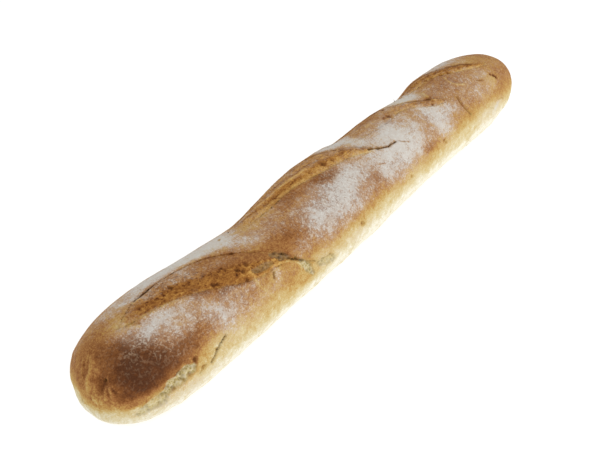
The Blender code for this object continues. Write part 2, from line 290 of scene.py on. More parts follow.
# Baking. By height above the base, then by place: x, angle, reach along x, reach in degrees, amount.
BAKE_HEIGHTS = (0.0, 0.8, 3.0, 18.0, 24.0, 28.5, 34.5, 39.5, 45.0, 51.0, 62.0)
BAKE_AMOUNTS = (0.50, 0.40, 0.04, 0.00, 0.05, 0.11, 0.22, 0.35, 0.48, 0.55, 0.53)
BROWN_REACH_PLACES = (-270, -256, -240, -215, -185, -150, -110, -80, 0, 200, 225, 245, 270)
BROWN_REACH = (6, 9, 9, 4, 0, 0, 5, 1, 0, 0, 5, 9, 12)     # how much further down the brown runs, millimetres
BAKED = (
    # x below -170
    (-263, 28, 9, 34, -0.14), (-259, 70, 9, 12, 0.14), (-258, 0, 9, 10, 0.09), (-256, 0, 20, 50, 0.08),
    (-254, -34, 9, 12, -0.05), (-254, 83, 8, 4, 0.14), (-250, 90, 9, 5, -0.08), (-243, 42, 23, 31, 0.46),
    (-242, 67, 8, 5, 0.1), (-238, 81, 8, 5, -0.18), (-233, -3, 8, 9, -0.16), (-226, -2, 10, 8, -0.08),
    (-221, 43, 10, 8, 0.05), (-218, -16, 14, 12, -0.06), (-213, 57, 14, 9, 0.1), (-208, 48, 14, 12, 0.06),
    (-195, 46, 14, 10, 0.08), (-189, 70, 11, 6, -0.09), (-178, 22, 8, 5, 0.2),
    # -170 to -100
    (-168, 56, 20, 14, 0.08), (-159, 32, 11, 4, 0.28), (-150, -22, 24, 10, -0.18), (-150, 73, 9, 5, 0.07),
    (-144, 35, 9, 4, 0.2), (-140, 88, 60, 9, 0.09), (-130, 52, 14, 10, -0.08), (-120, 43, 9, 5, 0.24),
    (-115, 52, 14, 9, -0.12), (-114, 36, 9, 6, -0.06), (-111, 47, 7, 5, 0.16),
    # -100 to 20
    (-100, -14, 16, 8, -0.12), (-98, 62, 8, 6, -0.14), (-93, 26, 22, 19, 0.11), (-90, 87, 11, 6, 0.14),
    (-75, 69, 9, 5, -0.08), (-64, -3, 20, 6, 0.14), (-62, 67, 9, 7, 0.06), (-48, 36, 30, 20, 0.12),
    (-34, 4, 10, 6, 0.18), (-28, 22, 30, 18, 0.13), (-18, 9, 9, 6, 0.12), (-14, 73, 12, 6, 0.07),
    (0, 75, 26, 8, -0.06), (5, 55, 20, 9, 0.1), (10, 60, 9, 7, -0.09), (12, 38, 9, 14, 0.08),
    # 20 to 110
    (20, 62, 40, 7, 0.05), (24, -14, 8, 14, -0.12), (46, -22, 22, 9, 0.03), (50, 45, 22, 14, 0.1),
    (60, 80, 40, 9, 0.05), (77, -7, 9, 10, 0.04), (87, 62, 7, 6, 0.14), (88, 60, 14, 9, 0.08),
    (108, -20, 12, 10, -0.14),
    # above 110
    (110, -14, 14, 14, -0.1), (120, 38, 12, 12, 0.06), (130, 12, 16, 10, 0.05), (140, 91, 44, 6, 0.07),
    (145, -29, 22, 8, 0.1), (156, 2, 14, 14, 0.1), (175, 10, 10, 10, 0.1), (177, 60, 16, 8, -0.08),
    (182, 76, 12, 6, -0.07), (190, 61, 30, 6, 0.05), (200, 9, 8, 5, 0.16), (205, -2, 20, 12, -0.1),
    (206, 42, 9, 13, -0.12), (207, 44, 6, 10, -0.06), (230, 0, 9, 9, 0.06), (231, 42, 8, 12, 0.1),
    (235, 15, 12, 24, -0.05),
)

# The dimple in the -X end. Its details are placed in millimetres from it: to the right and up, facing it.
DIMPLE_PLACE = (-260.3, 31.0)
DIMPLE_REACH = 28.0
HOLLOW_PLACE = (-3.7, -3.0)
HOLLOW_SIZE = (3.9, 6.2)
# Its folds and fibres: points, width, height and tone. Raised ones are painted paler and sunk ones darker, as
# painted light and shade.
DIMPLE_RIDGES = (
    (((-11, 17), (-11.4, 10), (-10.4, 5), (-11.6, 0), (-11.4, -6), (-9.8, -10), (-7, -14), (-3, -18)),
     1.2, 1.0, -0.19),
    (((-9.6, 14), (-9.4, 9), (-8.2, 6), (-5, 5), (-2.4, 4)), 1.1, 0.8, -0.18),
    (((-13.6, 17), (-14, 10), (-13, 4)), 0.7, 0.4, -0.16),
    (((-16.4, 12), (-16.8, 5), (-16, -2)), 0.9, 0.4, -0.12),
    (((-7.4, -3), (-7, -8), (-4, -12)), 0.8, 0.5, -0.16),
    (((0.9, 2.4), (1.4, 0.6), (1.3, -1.6)), 0.6, 0.7, -0.26),
    (((0.8, -2), (0.4, -8), (0.9, -14)), 0.9, 0.6, -0.24),
    (((1.8, -1.4), (4.2, -6.6), (6.8, -10.8)), 0.7, 0.6, -0.26),
    (((2.2, -4), (4.0, -9), (5.4, -15)), 0.7, 0.5, -0.22),
    (((2.4, -0.6), (6.6, -4.8), (10.5, -8)), 0.6, 0.4, -0.16),
    (((-1.6, -9), (-2.6, -13), (-1.4, -17)), 0.8, 0.5, -0.18),
    (((7.2, -13), (8.4, -16)), 0.7, 0.3, -0.16),
    (((0.6, -11), (5.5, -16.6), (12.5, -18.8), (21, -17.4), (26, -14)), 1.6, 0.3, -0.07),
    (((-12.6, 11), (-12.2, 7), (-12.6, 3)), 0.7, -0.4, 0.07),
    (((-15.2, 10), (-15.2, 4), (-14, -2)), 0.9, -0.4, 0.09),
    (((-9.9, -8), (-9.3, -11.6), (-8.2, -14)), 0.9, -0.9, 0.20),
    (((-0.6, -1.6), (-1.2, -5), (-1.0, -9)), 1.1, -0.4, 0.05),
    (((2.4, -6.6), (4.4, -12)), 0.6, -0.5, 0.12),
    (((4.6, -4.6), (8.4, -8.6)), 0.7, -0.5, 0.10),
    (((-10.2, 2), (-9.6, -2), (-9.8, -5)), 0.8, -0.4, 0.08),
)


# ---- noise
TURN = np.array(((0.80, 0.36, -0.48), (-0.60, 0.48, -0.64), (0.0, 0.80, 0.60)))     # turns each layer's grid
NOISE_LAYERS = 3
NOISE_OFFSET = 1000.0         # keeps the cells' whole numbers above zero


def hashed(cells, seed):
    """A steady random number from 0 to 1 for each whole-number cell."""
    cells = cells.astype(np.int64).astype(np.uint32)
    mixed = cells[..., 0] * np.uint32(73856093)
    mixed ^= cells[..., 1] * np.uint32(19349663)
    mixed ^= cells[..., 2] * np.uint32(83492791)
    mixed ^= np.uint32((seed * 2654435761) % 2 ** 32)
    for shift, factor in ((16, 0x7FEB352D), (15, 0x846CA68B), (16, 1)):
        mixed ^= mixed >> np.uint32(shift)
        mixed *= np.uint32(factor)
    return mixed / 2.0 ** 32


def lumps(points, size, seed):
    """Smooth noise from -1 to 1 with lumps about `size` millimetres across."""
    scaled = points / size + NOISE_OFFSET
    corner = np.floor(scaled)
    part = scaled - corner
    part = part * part * (3 - 2 * part)
    total = np.zeros(len(points))
    for offset in itertools.product((0, 1), repeat=3):
        weight = np.prod(np.where(offset, part, 1 - part), axis=-1)
        total += weight * hashed(corner + offset, seed)
    return 2 * total - 1


def layered(points, size, seed):
    """Lumps on lumps, each layer half the size and half the strength of the last."""
    total = np.zeros(len(points))
    for layer in range(NOISE_LAYERS):
        points = points @ TURN
        total += lumps(points, size / 2 ** layer, seed + 17 * layer) / 2 ** layer
    return total / (2 - 2.0 ** (1 - NOISE_LAYERS))


def mixed_noise(points, *parts):
    """Several noises added up, each given as strength, size and seed."""
    return sum(strength * layered(points, size, seed) for strength, size, seed in parts)


def pushes(points, amount, sizes, seed):
    """A shift in two directions for each point, which makes drawn edges ragged."""
    return amount * np.stack([layered(points, size, seed + k) for k, size in enumerate(sizes)], axis=-1)


def spot_distance(points, size, seed):
    """How far the nearest scattered spot is, in cube sides. Each cube of `size` holds one spot."""
    scaled = points / size + NOISE_OFFSET
    corner = np.floor(scaled)
    nearest = np.full(len(points), 9.0)
    for offset in itertools.product((-1, 0, 1), repeat=3):
        cell = corner + offset
        spot = np.stack([hashed(cell, seed + k) for k in range(3)], axis=-1) + cell
        nearest = np.minimum(nearest, ((spot - scaled) ** 2).sum(axis=-1))
    return np.sqrt(nearest)


# ---- soft steps
def rise(value, start, end):
    """0 before start, 1 after end, smooth between."""
    t = np.clip((value - start) / (end - start), 0, 1)
    return t * t * (3 - 2 * t)


def window(value, start, full, fading, end):
    """0 before start and after end, 1 from full to fading."""
    return rise(value, start, full) * (1 - rise(value, fading, end))


def hump(value, width):
    """1 where the value is 0, falling off softly on both sides."""
    return np.exp(-(value / width) ** 2)


def plateau(value, width):
    """Like hump, but flatter in the middle and steeper at the rim."""
    return np.exp(-(value / width) ** 2.6)


# ---- the form
def smooth_through(places, values, at):
    """Natural cubic spline through a few given values."""
    x, y = np.asarray(places, float), np.asarray(values, float)
    h = np.diff(x)
    rows = np.eye(len(x))
    right = np.zeros(len(x))
    for i in range(1, len(x) - 1):
        rows[i, i - 1:i + 2] = h[i - 1], 2 * (h[i - 1] + h[i]), h[i]
        right[i] = 6 * ((y[i + 1] - y[i]) / h[i] - (y[i] - y[i - 1]) / h[i - 1])
    m = np.linalg.solve(rows, right)
    at = np.clip(at, x[0], x[-1])
    k = np.clip(np.searchsorted(x, at) - 1, 0, len(h) - 1)
    a, b = x[k + 1] - at, at - x[k]
    return ((m[k] * a ** 3 + m[k + 1] * b ** 3) / (6 * h[k])
            + (y[k] / h[k] - m[k] * h[k] / 6) * a + (y[k + 1] / h[k] - m[k + 1] * h[k] / 6) * b)


def end_rounding(x):
    """1 along the body, falling to 0 at each tip."""
    total = np.ones_like(x)
    for inward, (reach, power) in ((x + LENGTH / 2, NEAR_END), (LENGTH / 2 - x, FAR_END)):
        s = np.clip(inward / reach, 0.0, 1.0)
        total = total * np.maximum(1 - (1 - s) ** power, 0.0) ** (1 / power)
    return total


def loaf_form(x, angle):
    """Points of the plain loaf, millimetres, for x and angles in degrees. The base isn't cut flat yet."""
    place = 2 * x / LENGTH
    cap = end_rounding(x)
    half_width = smooth_through(WIDTH_PLACES, HALF_WIDTHS, place) * cap
    bend = smooth_through(BEND_PLACES, BENDS, place)
    sine, cosine = np.sin(np.radians(angle)), np.cos(np.radians(angle))
    above = cosine > 0
    power = 2 / np.where(above, CROWN_POWER, UNDER_POWER)
    height = np.where(above, CROWN_HEIGHT - WIDEST_HEIGHT, -WIDEST_HEIGHT * UNDER_DROP)
    y = bend - np.sign(sine) * np.abs(sine) ** power * half_width
    z = WIDEST_HEIGHT + height * np.abs(cosine) ** power * cap
    lift = sum(amount * hump(x - centre, reach) for centre, amount, reach in SWELLINGS)
    lift = lift * cap * hump(angle - SHOULDER_ANGLE, SHOULDER_SPREAD)
    tilt = math.radians(-SHOULDER_ANGLE)
    return np.stack([x, y + lift * math.sin(tilt), z + lift * math.cos(tilt)], axis=-1)


def form_point(x, angle):
    return loaf_form(np.array([x]), np.array([angle]))[0]


def ring_places():
    """Stations along X, evenly spaced over the crust but a little closer towards the -X end."""
    s = np.linspace(0, 1, 4001)
    near = -LENGTH / 2 + NEAR_END[0] * s ** 3
    middle = np.linspace(-LENGTH / 2 + NEAR_END[0], LENGTH / 2 - FAR_END[0], 4001)
    far = LENGTH / 2 - FAR_END[0] * (1 - s) ** 3
    x = np.concatenate([near, middle[1:-1], far])
    swing = end_rounding(x) * HALF_WIDTHS[4]
    step = np.hypot(np.diff(x), np.diff(swing))
    run = np.concatenate([[0], np.cumsum(step * np.interp(x[1:], FINENESS_PLACES, FINENESS))])
    return np.interp(np.linspace(0, run[-1], RINGS + 2)[1:-1], run, x)


def column_angles():
    """Angles of the columns, closest on the side that shows the slashes and the pale flank."""
    angle = np.linspace(-180, 180, 7201)
    fine, flank, base = COLUMN_STEPS
    need = np.where(np.abs(angle) < BASE_ANGLE, 1 / flank, 1 / base)
    need = np.where((angle > FINE_SIDE[0]) & (angle < FINE_SIDE[1]), 1 / fine, need)
    smoothing = np.hanning(161) / np.hanning(161).sum()
    need = np.convolve(np.pad(need, len(smoothing) // 2, mode="wrap"), smoothing, mode="valid")
    run = np.concatenate([[0], np.cumsum((need[1:] + need[:-1]) / 2)])
    return np.interp(np.linspace(0, run[-1], COLUMNS, endpoint=False), run, angle)


# ---- lines drawn on the crust
def drawn_line(places, wiggle=0.35, spacing=0.5):
    """A smooth line through a few places, as points (x, arc) every half millimetre, a little unsteady."""
    places = np.array(places, float)
    places[:, 1] *= ARC
    steps = np.arange(len(places))
    fine = np.linspace(0, len(places) - 1, 40 * len(places))
    line = np.stack([smooth_through(steps, places[:, k], fine) for k in (0, 1)], axis=-1)
    run = np.concatenate([[0], np.cumsum(np.hypot(*np.diff(line, axis=0).T))])
    even = np.linspace(0, run[-1], max(int(run[-1] / spacing), 2) + 1)
    line = np.stack([np.interp(even, run, line[:, k]) for k in (0, 1)], axis=-1)
    spots = np.column_stack([line, np.zeros(len(line))])
    sway = np.stack([lumps(spots, 5, seed) + 0.6 * lumps(spots, 2.2, seed + 2) for seed in (7, 8)], axis=-1)
    return line + wiggle * sway * np.minimum(1, np.minimum(even, even[-1] - even) / 3)[:, None]


def near_line(places, line, margin):
    """Which of the places (x, arc) lie within the line's box, let out by a margin."""
    low, high = line.min(axis=0) - margin, line.max(axis=0) + margin
    return np.flatnonzero(((places > low) & (places < high)).all(axis=1))


def reach_line(places, line):
    """Distance to a line, how far along it that is from 0 to 1, and the step that leads to it."""
    gap = line[None] - places[:, None]
    square = (gap ** 2).sum(axis=-1)
    nearest = square.argmin(axis=1)
    chosen = np.arange(len(places))
    return np.sqrt(square[chosen, nearest]), nearest / (len(line) - 1), gap[chosen, nearest]


def inside(places, one_side, other_side):
    """True for the places between two lines that run the same way."""
    outline = np.concatenate([one_side, other_side[::-1]])[::3]
    result = np.zeros(len(places), bool)
    for (x0, a0), (x1, a1) in zip(outline, np.roll(outline, -1, axis=0)):
        if a0 == a1:
            continue
        crosses = (places[:, 1] < a0) != (places[:, 1] < a1)
        meet = x0 + (places[:, 1] - a0) * (x1 - x0) / (a1 - a0)
        result ^= crosses & (places[:, 0] < meet)
    return result


def beside_line(crust, points, margin):
    """The crust's points near a drawn line, their distances from it and how far along it they are."""
    line = drawn_line(points)
    at = near_line(crust.places, line, margin)
    return at, *reach_line(crust.places[at], line)[:2]


def pulled_onto(places, line, reach=0.62, hold=1.6):
    """Places with the nearest ones moved right onto a line, so that it stays one clean edge in the mesh."""
    near = near_line(places, line, 2 * hold)
    distance, _, step = reach_line(places[near], line)
    places = places.copy()
    places[near] += step * (1 - rise(distance, reach, hold))[:, None]
    return places


# ---- the crust
class Crust:
    """The loaf's skin as one long list of points, with what each feature does to them."""

    def __init__(self):
        x, angle = np.meshgrid(ring_places(), column_angles(), indexing="ij")
        self.shape = x.shape
        places = np.stack([x.ravel(), angle.ravel() * ARC], axis=-1)
        edges = [edge for slash in SLASHES for edge in (slash.upper, slash.lower)]
        edges += [points for points, width, depth, darkness in CRACKS if darkness > CLEAN_CRACK]
        for edge in edges:
            places = pulled_onto(places, drawn_line(edge))
        self.places = places
        self.angle = places[:, 1] / ARC
        self.form = loaf_form(places[:, 0], self.angle)
        self.set_directions()
        wandering = [mixed_noise(self.form, (3.2, 15, seed), (1.1, 4, seed + 5)) for seed in (11, 12)]
        self.warped = places + np.stack(wandering, axis=-1)      # gives drawn patches ragged edges
        count = len(places)
        self.slide = np.zeros((count, 3))
        self.relief, self.bake, self.flour, self.opened, self.crumb, self.painted_shade = np.zeros((6, count))

    def set_directions(self):
        """The outward direction and the two along the skin, at each point."""
        grid = self.form.reshape(*self.shape, 3)
        along = np.gradient(grid, axis=0)
        wrapped = np.concatenate([grid[:, -1:], grid, grid[:, :1]], axis=1)
        around = wrapped[:, 2:] - wrapped[:, :-2]
        outward = np.cross(around, along)
        self.along, self.around, self.outward = (
            (d / np.maximum(np.linalg.norm(d, axis=-1, keepdims=True), 1e-9)).reshape(-1, 3)
            for d in (along, around, outward))

    def blob(self, x, angle, reach_x, reach_angle):
        """1 at a place, falling off softly round it, with a ragged edge."""
        across = (self.warped[:, 0] - x) / reach_x
        around = (self.warped[:, 1] / ARC - angle) / reach_angle
        return np.exp(-(across ** 2 + around ** 2) ** 1.15 * 0.8)

    # Painted shade: keeps the strongest shade painted on each point.
    def paint_shade(self, at, amount):
        self.painted_shade[at] = np.maximum(self.painted_shade[at], amount)


def swell_and_dent(crust):
    """Gentle unevenness all over, and a rougher skin low on the flanks."""
    crust.relief += mixed_noise(crust.form, (0.45, 34, 21), (0.22, 9, 22), (0.10, 2.6, 23)) - SETTLING
    sinks = np.interp(crust.form[:, 0], *zip(*SHOULDER_SINKS))
    crust.relief -= sinks * hump(crust.angle - SINKS_ANGLE, SINKS_SPREAD)
    x, angle, reach, depth = TIP_DENT
    from_dent = np.linalg.norm(crust.form - form_point(x, angle), axis=1)
    crust.relief -= depth * hump(from_dent, reach)
    low = window(crust.form[:, 2], 0, 4, 20, 34)
    crust.relief += low * mixed_noise(crust.form, (0.8, 16, 24), (0.45, 5, 25))


def bake_crust(crust):
    """Brown on top, cream low on the flanks, darkest on the -X end."""
    x, height = crust.form[:, 0], crust.form[:, 2]
    reach = np.interp(x, BROWN_REACH_PLACES, BROWN_REACH)
    wander = mixed_noise(crust.form, (2.6, 26, 31), (1.3, 6, 32))
    above_base = rise(height, 3, 12)
    crust.bake = np.interp(height + above_base * (reach + wander), BAKE_HEIGHTS, BAKE_AMOUNTS)
    for *place, amount in BAKED:
        crust.bake += amount * crust.blob(*place)
    crust.bake += mixed_noise(crust.form, (0.05, 18, 33), (0.07, 4.5, 34))
    streaks = layered(crust.form * DRAWN_ROUND, 6, 35)
    crust.bake += 0.05 * streaks * (1 - rise(height, 22, 40)) * above_base


def flour_crust(crust):
    """Flour in patches, broken up by noise most where it lies thinly."""
    bare = np.ones(len(crust.flour))
    for *place, amount in FLOUR:
        bare *= 1 - amount * crust.blob(*place)
    patches = 1 + mixed_noise(crust.form, (0.7, 5, 41), (0.6, 2.2, 42))
    crust.flour = np.clip((1 - bare) * (patches + (1 - patches) * (1 - bare)), 0, 0.95)
    for *place, amount in BARE:
        crust.flour *= 1 - amount * crust.blob(*place)


# ---- slashes
class Cut:
    """The points near one slash: how far each is from the slash's lines, and which part of it each is in."""

    def __init__(self, crust, slash, seed):
        upper, lower, ledge = (drawn_line(line) for line in (slash.upper, slash.lower, slash.ledge))
        self.at = near_line(crust.places, np.concatenate([upper, lower]), 12)
        self.form = crust.form[self.at]
        self.seed = seed
        places = crust.places[self.at]
        ragged = places + pushes(self.form, 1.2, (5, 3.5), seed)
        self.to_upper, along_upper, self.step_up = reach_line(places, upper)
        self.to_lower, along_lower = reach_line(places, lower)[:2]
        self.to_ledge = reach_line(ragged, ledge)[0]
        self.to_edge = np.minimum(self.to_upper, self.to_lower)
        nearer_upper = self.to_upper < self.to_lower
        self.along = np.where(nearer_upper, along_upper, along_lower)
        self.opening = np.clip(4 * self.along * (1 - self.along), 0, 1) ** 0.6

        self.within = inside(places, upper, lower)
        self.first_band = inside(ragged, upper, ledge) & self.within
        self.second_band = self.within & ~self.first_band
        self.lifted = ~self.within & nearer_upper
        self.lower_side = ~self.within & ~nearer_upper

        # Where along the upper edge the painted shadow line runs; the groove is cut deepest there too.
        start, end = slash.shadow_line[:2]
        self.stretch = window(along_upper, start, start + 0.08, end - 0.12, end)
        self.fade_in = rise(places[:, 0], *slash.fade_in)
        past_band = self.first_band * rise(places[:, 0], *slash.band_end)
        inner, outer = 0.5 + 0.5 * rise(self.to_edge, 0, 1.2), 0.5 - 0.5 * rise(self.to_edge, 0, 0.8)
        self.opened = np.where(self.within, inner, outer) * rise(self.opening, 0.05, 0.5) * self.fade_in
        self.opened *= 1 - 0.8 * past_band
        self.closed = past_band * rise(self.to_upper, 0, 1)
        self.halo = self.lifted * self.opening * hump(self.to_upper, 2.2)
        self.fibres = layered(self.form * DRAWN_ALONG, 2.4, seed + 3)
        self.pits = 1 - rise(spot_distance(self.form, 2.7, seed + 4), 0.16, 0.46)

    def noise(self, size, step):
        """Layered noise over the cut, a different one for each step."""
        return layered(self.form, size, self.seed + step)


def shape_slash(crust, slash, cut):
    """The groove under the lifted edge, the dough swollen in two bands, its fibres and pits."""
    deep = (0.22 + 0.78 * cut.stretch) * (0.75 + 0.45 * cut.noise(9, 2))
    groove = slash.groove * deep * hump(cut.to_upper, np.where(cut.within, 1.15, 0.55))
    across = cut.to_upper / np.maximum(cut.to_upper + cut.to_lower, 1e-6)
    belly = cut.within * slash.belly * 4 * across * (1 - across)
    above_ledge = cut.first_band * 0.5 * np.exp(-cut.to_ledge / 2.2)
    below_ledge = cut.second_band * 0.5 * np.exp(-cut.to_ledge / 1.6)
    ear = cut.lifted * slash.ear * np.exp(-cut.to_upper / 3.4) * rise(cut.to_upper, 0.1, 1.3)
    step = cut.lower_side * slash.step * np.exp(-cut.to_lower / 3.0)
    crust.relief[cut.at] += cut.opening * (belly - groove + above_ledge - below_ledge + ear + step)
    rough = 0.32 * cut.fibres - 0.55 * cut.pits * (0.4 + 0.6 * cut.second_band)
    crust.relief[cut.at] += cut.within * rise(cut.to_edge, 0, 1) * rough


def lean_edge(crust, cut):
    """The lifted edge leans out over the cut."""
    lean = cut.lifted * 0.9 * cut.opening * hump(cut.to_upper - 1, 1.1)
    shift = cut.step_up * (lean / np.maximum(cut.to_upper, 1e-6))[:, None]
    crust.slide[cut.at] += shift[:, :1] * crust.along[cut.at] + shift[:, 1:] * crust.around[cut.at]


def bake_slash(crust, slash, cut):
    """The opened dough's tone, its upper rim browned partly as painted shade, a pale lower rim painted as a
    highlight, and the painted shadow line under the lifted edge.
    """
    first_tone, second_tone, last_tone = slash.tone
    below = second_tone + (last_tone - second_tone) * rise(cut.along, 0.55, 0.85)
    tone = np.where(cut.first_band, first_tone, below)
    tone += 0.20 * slash.fibre * cut.fibres + 0.10 * cut.noise(6, 6)
    tone += slash.dots * cut.pits * (0.25 + hump(cut.to_ledge, 3.6))
    # Painted shade under the ledge's step, broken up by noise.
    broken = rise(cut.noise(4, 5), -0.3, 0.3)
    tone += slash.ledge_shade * broken * hump(cut.to_ledge, np.where(cut.second_band, 1.3, 0.6))
    bake = crust.bake[cut.at] * (1 - cut.opened) + tone * cut.opened
    bake += 0.08 * cut.closed + 0.06 * cut.halo
    # The upper rim is browned, most where the painted shadow line runs: partly painted shade.
    bake += (0.04 + 0.14 * cut.stretch) * cut.opening * hump(cut.to_upper, 0.9)
    # A painted highlight: the opened dough is painted paler along its lower edge.
    highlight_rim = cut.within * cut.opening * hump(cut.to_lower, 1.3) * rise(cut.noise(12, 9), -0.5, 0.3)
    crust.bake[cut.at] = bake - 0.20 * highlight_rim * cut.fade_in
    crust.opened[cut.at] = np.maximum(crust.opened[cut.at], cut.opened)
    # The painted shadow under the lifted edge: an unsteady line blended towards the shadow tint.
    unsteady = np.clip(0.65 + 0.8 * cut.noise(5, 8), 0.1, 1)
    crust.paint_shade(cut.at, slash.shadow_line[2] * cut.stretch * unsteady * hump(cut.to_upper, 0.75))


def flour_slash(crust, slash, cut):
    """A thin veil of flour on the opened dough, none on the ledge and less beside the cut."""
    veil = np.where(cut.first_band, *slash.veil) * (0.8 + 0.6 * cut.noise(7, 7)) * (1 - hump(cut.to_ledge, 2))
    flour = crust.flour[cut.at]
    drifted = np.minimum(veil + 0.35 * flour, 0.7)
    flour = flour * (1 - cut.opened) + drifted * cut.opened
    crust.flour[cut.at] = flour * (1 - 0.6 * cut.closed) * (1 - 0.5 * cut.halo)


def open_slash(crust, slash, seed):
    cut = Cut(crust, slash, seed)
    shape_slash(crust, slash, cut)
    lean_edge(crust, cut)
    bake_slash(crust, slash, cut)
    flour_slash(crust, slash, cut)


# ---- smaller features
def draw_crack(crust, points, width, depth, darkness, seed):
    """A thin crack with a low lip on each side, painted shade in it and no flour in it."""
    at, distance, along = beside_line(crust, points, 5)
    uneven = np.clip(0.8 + 0.5 * layered(crust.form[at], 3.5, seed), 0.25, 1.4)
    fade = window(along, 0, 0.06, 0.90, 1)
    crust.relief[at] -= depth * fade * uneven * hump(distance, 0.75 * width * uneven)
    crust.relief[at] += 0.25 * depth * fade * hump(distance - 1.9 * width, width)
    # Painted shade in the crack.
    crust.paint_shade(at, darkness * fade * hump(distance, 0.62 * width * uneven))
    crust.flour[at] *= 1 - 0.8 * fade * hump(distance, 1.2 * width)


def raise_line(crust, at, distance, along, width, height, tone, fade):
    """A line raised from the skin, or sunk in it, that fades out over a share of its length at each end."""
    strength = hump(distance, width) * window(along, 0, fade, 1 - fade, 1)
    crust.relief[at] += height * strength
    crust.bake[at] += tone * strength


def raise_ridge(crust, points, width, height, tone):
    raise_line(crust, *beside_line(crust, points, 3 * width), width, height, tone, fade=0.15)


def press_hole(crust, x, angle, radius, depth, darkness):
    """A little pit: painted shade at its bottom, browner round it, with no flour on it."""
    gap = crust.places * 0.55 + crust.warped * 0.45 - np.array((x, angle * ARC))
    at = np.flatnonzero((np.abs(gap) < 4 * radius).all(axis=1))
    distance = np.hypot(*gap[at].T) / radius
    crust.relief[at] -= depth * plateau(distance, 1)
    crust.relief[at] += 0.15 * depth * hump(distance - 1.5, 0.4)
    crust.flour[at] *= 1 - 0.85 * plateau(distance, 1.5)
    crust.bake[at] += 0.45 * darkness * plateau(distance, 1.1)
    # Painted shade at the bottom of the pit.
    crust.paint_shade(at, 0.8 * darkness * plateau(distance, 0.75))


def tear_open(crust, points, strength, shade, seed):
    """A rent in the skin with lumpy crumb in it, full of little holes, under a curled edge.

    Where the crumb shows weakly, opened dough shows as well. Painted shade lies over the crumb, in its holes
    and along its outline.
    """
    points = np.array(points, float)
    line = drawn_line(points[:, :2], wiggle=0.6)
    at = near_line(crust.places, line, 14)
    form = crust.form[at]
    ragged = crust.places[at] * 0.7 + crust.warped[at] * 0.3 + pushes(form, 1.5, (4.5, 4.5), seed + 5)
    distance, along = reach_line(ragged, line)[:2]
    steps = np.hypot(np.diff(points[:, 0]), np.diff(points[:, 1] * ARC))
    shares = np.concatenate([[0], np.cumsum(steps)]) / steps.sum()
    distance = distance / np.interp(along, shares, points[:, 2])
    bare = 1 - rise(distance, 0.75, 1.15)
    holes = 1 - rise(spot_distance(form, 2.9, seed), 0.15, 0.60)
    crust.relief[at] += bare * (-0.9 + 0.8 * layered(form, 3.2, seed + 1) - 1.0 * holes)
    crust.relief[at] += 0.5 * hump(distance - 1.3, 0.25)
    crust.crumb[at] = np.maximum(crust.crumb[at], strength * bare)
    crust.flour[at] *= 1 - bare
    dough_share = 1 - 2.5 * strength
    doughy = bare * max(dough_share, 0)
    crust.opened[at] = np.maximum(crust.opened[at], doughy)
    crust.bake[at] += doughy * (0.44 - crust.bake[at])
    patchy = np.clip(0.6 + 0.8 * layered(form, 5, seed + 3), 0.1, 1)
    # Painted shade over the crumb and in its holes.
    crust.paint_shade(at, bare * (shade + (0.2 + 0.45 * strength) * holes) * patchy)
    # A ragged painted shade along the rent's outline.
    outline = hump(distance - 1, 0.22) * rise(layered(form, 4, seed + 2), -0.1, 0.5)
    crust.paint_shade(at, max(0.5 * strength, 0.3 * dough_share) * outline)


def press_dimple(crust):
    """The small deep dimple in the -X end, with its hollow, folds and the fibres that run from it, light and
    shade painted on them.
    """
    gap = crust.form - form_point(*DIMPLE_PLACE)
    outward = crust.outward[np.argmin((gap ** 2).sum(axis=1))]
    right = np.cross((0, 0, 1.0), outward)
    right /= np.linalg.norm(right)
    up = np.cross(outward, right)
    at = np.flatnonzero(((gap ** 2).sum(axis=1) < DIMPLE_REACH ** 2) & (crust.outward @ outward > 0.1))
    spots = np.stack([gap[at] @ right, gap[at] @ up], axis=-1) + pushes(crust.form[at], 0.5, (4, 4), 71)
    far = np.hypot(*spots.T)
    crust.relief[at] -= 2.8 * hump(far, 1.5)
    # Painted shade in the deep dimple.
    crust.paint_shade(at, 0.85 * hump(far, 1.1))
    hollow = hump(spots - HOLLOW_PLACE, HOLLOW_SIZE).prod(axis=1)
    crust.relief[at] -= 2.7 * hollow
    # The hollow is browned as painted shade.
    crust.bake[at] += 0.15 * hollow
    crust.flour[at] *= 1 - 0.8 * hollow
    for points, width, height, tone in DIMPLE_RIDGES:
        line = drawn_line(points)
        line[:, 1] /= ARC
        raise_line(crust, at, *reach_line(spots, line)[:2], width, height, tone, fade=0.2)


def make_crust():
    crust = Crust()
    swell_and_dent(crust)
    bake_crust(crust)
    flour_crust(crust)
    for index, slash in enumerate(SLASHES):
        open_slash(crust, slash, SLASH_SEED + 20 * index)
    for index, tear in enumerate(TEARS):
        tear_open(crust, *tear, seed=TEAR_SEED + 10 * index)
    for ridge in RIDGES:
        raise_ridge(crust, *ridge)
    for index, crack in enumerate(CRACKS):
        draw_crack(crust, *crack, seed=CRACK_SEED + index)
    for hole in HOLES:
        press_hole(crust, *hole)
    press_dimple(crust)
    return crust


# ---- the mesh
def sideways_shift():
    """How far the plain form must move so that its box is centred on X, millimetres."""
    stations = np.linspace(-LENGTH / 2, LENGTH / 2, 541)
    y = loaf_form(*np.meshgrid(stations, np.arange(-180, 180, 2.0), indexing="ij"))[..., 1]
    return (y.min() + y.max()) / 2


def finished_points(crust):
    """Ring points and both tips, in metres, centred as the CAD is, with the base cut flat."""
    moved = crust.form + crust.outward * crust.relief[:, None] + crust.slide
    tips = np.array([(-LENGTH / 2, BENDS[0], WIDEST_HEIGHT), (LENGTH / 2, BENDS[-1], WIDEST_HEIGHT)])
    points = np.concatenate([moved, tips])
    points[:, 2] = np.maximum(points[:, 2], 0.0)
    points[:, 1] -= sideways_shift()
    return points * MM


def point_number(ring, column):
    """Where a place's point stands in the list: the rings' points first, then the two tips."""
    if ring < 0:
        return RINGS * COLUMNS
    if ring == RINGS:
        return RINGS * COLUMNS + 1
    return ring * COLUMNS + column % COLUMNS


